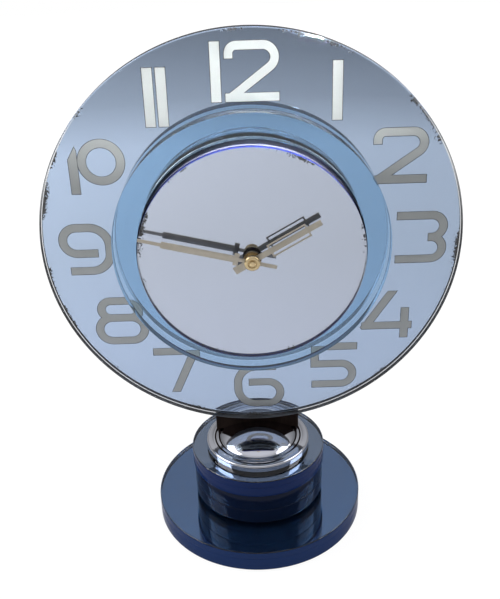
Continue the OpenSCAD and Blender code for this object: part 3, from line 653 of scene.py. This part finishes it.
def make_film(name, radius, low, material, slot):
    """Makes the silvering between a disc of the stand and its glass."""
    inner, outer = radius - 0.4 * MM, radius - 0.3 * MM
    film = turn_profile(name, [
        (inner, low + FILM_LOW), (outer, low + FILM_LOW),
        (outer, low + FILM_HIGH), (inner, low + FILM_HIGH)], DISC_STEPS)
    finish_piece(film, "clock", material, slot)


class CLOCK_OT_dial(bpy.types.Operator):
    """Makes the dial glass, its silvering and the inlaid numerals"""
    bl_idname = "clock.dial"
    bl_label = "Dial"

    def execute(self, context):
        look, metals = context.scene.clock_glass, context.scene.clock_metal
        low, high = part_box("dial_glass")
        radius = outer_radius("dial_glass")
        plate = turn_profile(
            "dial_plate_glass",
            ring_outline(BUSH_HOLE, radius, -high.y + GAP, -low.y, look.polish, 8),
            256, DIAL_AXIS)
        worked_and_shaded_rim = lacquer("Dial Glass Edge", look.rim_color, 0.30, 0.45, edge=(0.16, 0.17, 0.18),
                       shine=0.4)
        finish_piece(plate, "clock", [glass("Dial Glass", look.plate_color), worked_and_shaded_rim],
                     "blue_dial_glass", "dial_glass")
        # Painted shade: only the rim below this height gets the dark opaque edge finish, and the
        # rim above stays clear glass.
        shaded_rim_top = DIAL.z + 0.6 * radius
        paint_faces(plate, 1, lambda c, n: abs(n.y) < 0.95 and c.z < shaded_rim_top
                    and from_dial_axis(c) > radius - look.polish)
        outer = outer_radius("dial_backing")
        cad_finish(silver("Dial Silvering", look.plate_silver, DIAL, (1, 0, 1), outer, 0.9),
                   "dial_backing")
        numerals = metal("Inlaid Numerals", metals.numeral, 0.36, 0.42, 120.0, 0.0, grain=0.15)
        # Painted light: the upper numerals turn to the brighter colour, and the lower ones stay
        # darker as painted shade.
        painted_light_above(numerals, metals.clean, DIAL.z + 0.3 * radius, DIAL.z + 0.62 * radius)
        cad_finish(numerals, "numerals")
        front, back = (-edge.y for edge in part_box("dial_backing"))
        thick = front - back
        paint = turn_profile(
            "backing_paint",
            film_outline(outer * 0.5, outer - 0.5 * MM, back + 0.15 * thick, back + 0.3 * thick),
            DISC_STEPS, DIAL_AXIS)
        finish_piece(paint, "clock", lacquer(
            "Backing Paint", (0.010, 0.011, 0.014), 0.4, 0.5, amount=0.1, shine=0.1), "black_drum")
        return {"FINISHED"}


class CLOCK_OT_ring(bpy.types.Operator):
    """Makes the raised glass ring and the black drum inside it"""
    bl_idname = "clock.ring"
    bl_label = "Raised ring"

    def execute(self, context):
        look = context.scene.clock_glass
        low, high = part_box("ring_glass")
        drum = outer_radius("mirror_drum")
        inner = drum + 0.4 * MM
        ring = turn_profile(
            "raised_ring_glass",
            ring_outline(inner, outer_radius("ring_glass"), -high.y + GAP, -low.y,
                         look.polish * 0.35, 6),
            DIAL_STEPS, DIAL_AXIS)
        body = glass("Ring Glass", look.ring_color)
        ground = glass("Ring Glass Ground", look.ring_wall, 0.25, 0.4, 300.0)
        finish_piece(ring, "clock", [body, ground], "blue_ring_glass", "ring_glass")
        paint_faces(ring, 1, lambda c, n: from_dial_axis(c) < inner + 0.02 * MM)
        low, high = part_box("mirror_drum")
        black = turn_profile(
            "mirror_drum_turned",
            ring_outline(BUSH_HOLE, drum, -high.y + GAP, -low.y, 0.4 * MM, 4),
            DISC_STEPS, DIAL_AXIS)
        finish_piece(black, "clock", lacquer(
            "Black Drum", (0.006, 0.007, 0.014), 0.45, 0.55, amount=0.2, shine=0.08),
            "black_drum", "mirror_drum")
        return {"FINISHED"}


class CLOCK_OT_centre(bpy.types.Operator):
    """Makes the centre mirror and its silvering"""
    bl_idname = "clock.centre_mirror"
    bl_label = "Centre mirror"

    def execute(self, context):
        look = context.scene.clock_glass
        low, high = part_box("centre_mirror")
        radius = outer_radius("centre_mirror")
        mirror = turn_profile(
            "centre_mirror_glass",
            ring_outline(BUSH_HOLE, radius, -high.y + GLASS_LIFT, -low.y, look.polish * 0.6, 6),
            DIAL_STEPS, DIAL_AXIS)
        cobalt = lacquer("Cobalt Edge", (0.010, 0.030, 0.34), 0.3, 0.4, amount=0.1, shine=0.10)
        finish_piece(mirror, "clock", [glass("Centre Glass", (0.96, 0.965, 0.975)), cobalt],
                     "clear_mirror", "centre_mirror")
        paint_faces(mirror, 1, lambda c, n: abs(n.y) < 0.3
                    and from_dial_axis(c) > radius - 0.1 * MM)
        film = turn_profile(
            "centre_silvering",
            film_outline(BUSH_HOLE, radius - 0.3 * MM, -high.y + FILM_LOW, -high.y + FILM_HIGH),
            DISC_STEPS, DIAL_AXIS)
        finish_piece(film, "clock", silver(
            "Centre Silvering", look.centre_silver, DIAL, (1, 0, 1), radius, 0.9), "clear_mirror")
        return {"FINISHED"}


class CLOCK_OT_base(bpy.types.Operator):
    """Makes the round base: slab, mirror glass and felt"""
    bl_idname = "clock.base"
    bl_label = "Base"

    def execute(self, context):
        look, body = context.scene.clock_glass, context.scene.clock_body
        low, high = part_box("base_slab")
        radius = outer_radius("base_slab")
        navy = lacquer("Navy Edge Lacquer", body.edge_navy, 0.05, 0.12, shine=0.10)
        slab = turn_profile("base_slab_turned", disc_outline(
            radius, low.z, high.z - GAP, body.edge_round, FINE_ROUND), DIAL_STEPS)
        finish_piece(slab, "clock", navy, "navy_lacquer", "base_slab")
        low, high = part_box("base_glass")
        top = turn_profile("base_mirror_glass", disc_outline(
            radius, low.z + GLASS_LIFT, high.z, FINE_ROUND, look.polish, 8), DIAL_STEPS)
        finish_piece(top, "clock", [glass("Base Glass", (0.90, 0.93, 0.97)), navy],
                     "blue_base_glass", "base_glass")
        paint_faces(top, 1, is_rim(radius))
        make_film("base_silvering", radius, low.z, silver(
            "Base Silvering", look.base_silver, (0, 0, 0), (1, 1, 0), radius, 0.5, share=0.86),
            "blue_base_glass")
        cad_finish(felted("Base Felt", (0.03, 0.034, 0.04)), "base_felt")
        return {"FINISHED"}


class CLOCK_OT_column(bpy.types.Operator):
    """Makes the stacked discs of the column and their top mirror glass"""
    bl_idname = "clock.column"
    bl_label = "Column"

    def execute(self, context):
        look, body = context.scene.clock_glass, context.scene.clock_body
        dark = lacquer("Dark Disc Lacquer", body.disc_dark, 0.05, 0.12, shine=0.12)
        navy = lacquer("Navy Disc Lacquer", body.disc_navy, 0.04, 0.10, shine=0.10)
        foot, edge = 3.4 * MM, body.edge_round
        for node_name, name, finish, slot, drop, edge_low, edge_high, steps in (
                ("column_lower_disc", "column_lower_turned", dark, "dark_lacquer",
                 0, foot, edge, 10),
                ("column_middle_disc", "column_middle_turned", dark, "dark_lacquer",
                 0, edge, edge, 6),
                ("column_upper_disc", "column_upper_turned", navy, "navy_disc",
                 GAP, edge, FINE_ROUND, 6)):
            low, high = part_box(node_name)
            disc = turn_profile(name, disc_outline(
                outer_radius(node_name), low.z, high.z - drop, edge_low, edge_high, steps),
                DISC_STEPS)
            finish_piece(disc, "clock", finish, slot, node_name)
        low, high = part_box("column_top_glass")
        radius = outer_radius("column_upper_disc")
        top = turn_profile("column_top_mirror", disc_outline(
            radius, low.z + GLASS_LIFT, high.z, FINE_ROUND, look.polish, 8), DISC_STEPS)
        finish_piece(top, "clock", [glass("Column Glass", (0.93, 0.95, 0.97)), navy],
                     "blue_top_glass", "column_top_glass")
        paint_faces(top, 1, is_rim(radius))
        make_film("column_silvering", radius, low.z, silver(
            "Column Silvering", look.column_silver, (0, 0, 0), (1, 1, 0), radius, 0.4),
            "blue_top_glass")
        return {"FINISHED"}


def bead(outer, inner, base, rise):
    """A rounded moulding across a step, from its outer edge to its inner one."""
    points = 8
    return [(outer + (inner - outer) * i / points, base + rise * math.sin(math.pi * i / points))
            for i in range(1, points)]


def dome_outline(radius, low, rise):
    """Points up a full dome that are closest together at its rim."""
    points, crowding, fullness, shoulder = 28, 1.6, 1.9, 0.8
    inward = [(i / points) ** crowding for i in range(points)]
    return [(radius * (1 - t), low + rise * (1 - (1 - t) ** fullness) ** shoulder)
            for t in inward]


class CLOCK_OT_cap(bpy.types.Operator):
    """Makes the spun chrome cap"""
    bl_idname = "clock.chrome_cap"
    bl_label = "Chrome cap"

    def execute(self, context):
        metals = context.scene.clock_metal
        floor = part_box("chrome_cap")[0].z
        radius = outer_radius("chrome_cap")
        flange, step, dome_rise = 4.4 * MM, 0.3 * MM, 6.8 * MM
        hem, flange_round, nick = 1.2 * MM, 1.4 * MM, 0.1 * MM
        step_r, ring_r, dome_r = radius - 3.6 * MM, radius - 6.6 * MM, radius - 9.4 * MM
        shelf, ledge = floor + flange, floor + flange + step * 0.6
        top = shelf + 2 * step
        outline = ([(radius - hem, floor), (radius - SUPPORT, floor), (radius, floor + SUPPORT)]
                   + corner(radius - flange_round, shelf - flange_round, flange_round, 0, 8)
                   + [(step_r + nick, shelf - nick)]
                   + bead(step_r, ring_r, shelf, step * 1.6)
                   + [(ring_r, ledge)]
                   + bead(ring_r, dome_r, ledge, step * 1.6)
                   + [(dome_r + SUPPORT, top)] + dome_outline(dome_r, top, dome_rise)
                   + [(0.3 * MM, top + dome_rise)])
        cap = turn_profile("chrome_cap_spun", outline, DISC_STEPS)
        finish_piece(cap, "clock", metal(
            "Chrome Plate", metals.chrome, 0.04, 0.10, 60.0, 0.0), "chrome", "chrome_cap")
        return {"FINISHED"}


class CLOCK_OT_wood(bpy.types.Operator):
    """Makes the neck and the back board, with their edges eased"""
    bl_idname = "clock.woodwork"
    bl_label = "Neck and board"

    def execute(self, context):
        body = context.scene.clock_body
        softened("neck_block", "neck_block_planed", 0.4 * MM,
                 wood("Neck Wood", body.neck, 0.85, shine=0.08), "neck_wood")
        softened("back_board", "back_board_turned", 0.6 * MM,
                 wood("Board Wood", body.board, 0.5), "board_wood")
        cad_finish(wood("Core Wood", (0.30, 0.20, 0.11), 0.6), "cap_core")
        return {"FINISHED"}


class CLOCK_OT_hands(bpy.types.Operator):
    """Makes the hands, their nut and the hub"""
    bl_idname = "clock.hands"
    bl_label = "Hands and hub"

    def execute(self, context):
        metals = context.scene.clock_metal
        satin = metal("Hand Metal", metals.hands, 0.46, 0.58, 150.0, 0.4)
        softened("hour_hand", "hour_hand_cut", 0.08 * MM, satin, "hand_metal", 1)
        softened("minute_hand", "minute_hand_cut", 0.08 * MM, satin, "hand_metal", 1)
        brass = metal("Turned Brass", metals.brass, 0.18, 0.34, 120.0)
        softened("hand_nut", "hand_nut_turned", 0.1 * MM, brass, "brass")
        cad_finish(brass, "bush_nut", "threaded_bush", "minute_arbor", "hour_wheel",
                   "minute_wheel")
        cad_finish(moulded("Washer Rubber", (0.015, 0.015, 0.016), 0.7),
                   "face_washer", "seal_washer")
        return {"FINISHED"}


class CLOCK_OT_movement(bpy.types.Operator):
    """Makes the movement's case, cover, motor, battery and knob"""
    bl_idname = "clock.movement"
    bl_label = "Movement"

    def execute(self, context):
        plastic = moulded("Movement Plastic", (0.022, 0.022, 0.024), 0.5)
        softened("movement_case", "movement_case_moulded", 0.3 * MM, plastic, "case_plastic")
        softened("movement_cover", "movement_cover_moulded", 0.3 * MM, plastic, "case_plastic")
        softened("set_knob", "set_knob_moulded", 0.15 * MM,
                 moulded("Knob Plastic", (0.03, 0.03, 0.032), 0.35), "knob_plastic", 1)
        cad_finish(moulded("Motor Plastic", (0.62, 0.58, 0.46), 0.5), "motor_module")
        cad_finish(lacquer("Battery Jacket", (0.05, 0.055, 0.06), 0.2, 0.3, coat=0.6), "battery")
        return {"FINISHED"}


class CLOCK_OT_fasteners(bpy.types.Operator):
    """Gives rods, nuts, washers, screws and contacts their metal"""
    bl_idname = "clock.fasteners"
    bl_label = "Fasteners"

    def execute(self, context):
        metals = context.scene.clock_metal
        steel = metal("Bright Steel", metals.steel, 0.2, 0.38, 150.0)
        cad_finish(steel, "tie_rods", "tie_washers", "tie_nuts", "wheel_stud", "battery_contacts",
                   "cover_screws", "set_arbor")
        cad_finish(metal("Screw Brass", metals.brass, 0.25, 0.4), "board_screws")
        return {"FINISHED"}


# Tones from the middle of the floor outwards, as shares of its radius: painted light, brightest in
# a band at about a third of the radius, darker nearer the middle and darker towards the rim
FLOOR_FIRST, FLOOR_LAST = (0.10, (0.80, 0.80, 0.82)), (1.0, (0.40, 0.39, 0.375))
FLOOR_TONES = ((0.20, 0.80), (0.25, 0.85), (0.36, 0.95), (0.49, 0.65), (0.67, 0.52))
FLOOR_TINT = (1, 0.995, 0.985)
# Tones of the room from straight below, at 0, to straight above, at 1
ROOM_FIRST, ROOM_LAST = (0.0, (0.20, 0.21, 0.22)), (1.0, (0.85, 0.86, 0.90))
ROOM_TONES = ((0.47, 0.16), (0.52, 0.20), (0.70, 0.34), (0.85, 0.62))
ROOM_TINT = (1, 1.01, 1.03)
# Name, place, what it points at, width, power and spread in degrees
LAMPS = (
    ("left_lamp", (-1.35, -0.15, 1.15), (0, 0, 0.17), 1.0, 13.0, 180),
    ("right_lamp", (1.35, 0.1, 1.25), (0, 0, 0.17), 1.0, 10.0, 180),
    ("numeral_lamp", (0.3, -1.9, 0.366), (0, 0, 0.366), 0.1, 18.0, 6),
)


def fill_ramp(ramp, first, last, between, tint):
    """Sets a colour ramp's two ends, and tinted greys between them."""
    stops = ramp.color_ramp.elements
    for index, (place, color) in enumerate((first, last)):
        stops[index].position, stops[index].color = place, rgba(color)
    for place, value in between:
        stops.new(place).color = rgba([value * t for t in tint])


class CLOCK_OT_stage(bpy.types.Operator):
    """Makes the floor, the lamps, the world and the camera"""
    bl_idname = "clock.stage"
    bl_label = "Stage"

    def execute(self, context):
        scene, stage = context.scene, context.scene.clock_stage
        clear_selection()
        bpy.ops.mesh.primitive_circle_add(vertices=96, radius=stage.floor_radius, fill_type="NGON",
                                          location=(0, 0, 0))
        floor = context.object
        floor.name = "floor"
        material = bpy.data.materials.new("Pale Floor")
        material.use_nodes = True
        tree = material.node_tree
        tree.nodes.clear()
        place = tree.nodes.new("ShaderNodeTexCoord").outputs["Object"]
        reach = node(tree, "ShaderNodeVectorMath", {0: place}, operation="LENGTH")
        fade = node(tree, "ShaderNodeValToRGB", {0: math_node(
            tree, "DIVIDE", reach.outputs["Value"], stage.floor_radius)})
        fill_ramp(fade, FLOOR_FIRST, FLOOR_LAST, FLOOR_TONES, FLOOR_TINT)
        # Painted light: the floor's colour is made lighter on the left and darker on the right.
        painted_side_light = node(tree, "ShaderNodeMapRange", {
            "Value": node(tree, "ShaderNodeSeparateXYZ", {0: place}).outputs["X"],
            "From Min": -0.3, "From Max": 0.3, "To Min": 1.12, "To Max": 0.86})
        shaded = node(tree, "ShaderNodeVectorMath", {
            0: fade.outputs["Color"], "Scale": painted_side_light.outputs["Result"]}, operation="SCALE")
        paper = node(tree, "ShaderNodeBsdfDiffuse", {"Color": shaded.outputs[0]})
        bright = node(tree, "ShaderNodeEmission", {"Color": (1, 1, 1, 1), "Strength": 1.07})
        path = tree.nodes.new("ShaderNodeLightPath")
        clean = node(tree, "ShaderNodeMapRange", {
            "Value": reach.outputs["Value"], "From Min": 0.07, "From Max": 0.30,
            "To Min": 0.88, "To Max": 1.0})
        mixed = node(tree, "ShaderNodeMixShader", {
            0: math_node(tree, "MULTIPLY", path.outputs["Is Camera Ray"], clean.outputs["Result"]),
            1: paper.outputs[0], 2: bright.outputs[0]})
        out = tree.nodes.new("ShaderNodeOutputMaterial")
        tree.links.new(mixed.outputs[0], out.inputs["Surface"])
        floor.data.materials.append(material)

        world = bpy.data.worlds.new("Studio")
        scene.world = world
        world.use_nodes = True
        tree = world.node_tree
        tree.nodes.clear()
        direction = tree.nodes.new("ShaderNodeTexCoord").outputs["Generated"]
        parts = node(tree, "ShaderNodeSeparateXYZ", {0: direction})
        ramp = node(tree, "ShaderNodeValToRGB", {0: math_node(
            tree, "ADD", math_node(tree, "MULTIPLY", parts.outputs["Z"], 0.5), 0.5)})
        fill_ramp(ramp, ROOM_FIRST, ROOM_LAST, ROOM_TONES, ROOM_TINT)
        room = node(tree, "ShaderNodeBackground", {
            "Color": ramp.outputs["Color"], "Strength": 0.9})
        white = node(tree, "ShaderNodeBackground", {
            "Color": (1, 1, 1, 1), "Strength": 1.0})
        path = tree.nodes.new("ShaderNodeLightPath")
        mixed = node(tree, "ShaderNodeMixShader", {
            0: path.outputs["Is Camera Ray"], 1: room.outputs[0], 2: white.outputs[0]})
        out = tree.nodes.new("ShaderNodeOutputWorld")
        tree.links.new(mixed.outputs[0], out.inputs["Surface"])

        for name, place, aim, size, power, spread in LAMPS:
            clear_selection()
            bpy.ops.object.light_add(type="AREA", location=place)
            lamp = context.object
            lamp.name = name
            lamp.data.shape = "SQUARE"
            lamp.data.size = size
            lamp.data.energy = power
            lamp.data.spread = math.radians(spread)
            lamp.rotation_euler = (Vector(aim) - Vector(place)).to_track_quat("-Z", "Y").to_euler()

        clear_selection()
        bpy.ops.object.camera_add(location=(0, -stage.camera_distance, stage.camera_height))
        camera = context.object
        camera.rotation_euler = (Matrix.Rotation(math.pi / 2 - stage.camera_pitch, 3, "X")
                                 @ Matrix.Rotation(stage.camera_roll, 3, "Z")).to_euler()
        camera.data.lens = stage.lens
        camera.data.sensor_width = 36
        camera.data.shift_x = stage.camera_shift
        camera.data.clip_start = 0.01
        scene.camera = camera
        scene.view_settings.view_transform = "Standard"
        return {"FINISHED"}


class CLOCK_PT_panel(bpy.types.Panel):
    """Lists the clock's pieces, sizes and colours"""
    bl_label = "Table Clock"
    bl_idname = "CLOCK_PT_panel"
    bl_space_type = "VIEW_3D"
    bl_region_type = "UI"
    bl_category = "Clock"

    def draw(self, context):
        for kind in OPERATORS:
            self.layout.operator(kind.bl_idname)
        for name, kind in SETTINGS:
            group = getattr(context.scene, name)
            box = self.layout.box()
            for key in kind.__annotations__:
                box.prop(group, key)


OPERATORS = (CLOCK_OT_base, CLOCK_OT_column, CLOCK_OT_cap, CLOCK_OT_wood, CLOCK_OT_dial,
             CLOCK_OT_ring, CLOCK_OT_centre, CLOCK_OT_hands, CLOCK_OT_movement,
             CLOCK_OT_fasteners, CLOCK_OT_stage)
SETTINGS = (("clock_glass", ClockGlassSettings), ("clock_metal", ClockMetalSettings),
            ("clock_body", ClockBodySettings), ("clock_stage", ClockStageSettings))


def register():
    for name, kind in SETTINGS:
        bpy.utils.register_class(kind)
        setattr(bpy.types.Scene, name, bpy.props.PointerProperty(type=kind))
    for kind in OPERATORS + (CLOCK_PT_panel,):
        bpy.utils.register_class(kind)


def unregister():
    for kind in reversed(OPERATORS + (CLOCK_PT_panel,)):
        bpy.utils.unregister_class(kind)
    for name, kind in reversed(SETTINGS):
        delattr(bpy.types.Scene, name)
        bpy.utils.unregister_class(kind)


def main():
    register()
    bpy.ops.clock.base()
    bpy.ops.clock.column()
    bpy.ops.clock.chrome_cap()
    bpy.ops.clock.woodwork()
    bpy.ops.clock.dial()
    bpy.ops.clock.ring()
    bpy.ops.clock.centre_mirror()
    bpy.ops.clock.hands()
    bpy.ops.clock.movement()
    bpy.ops.clock.fasteners()
    bpy.ops.clock.stage()


if __name__ == "__main__":
    main()
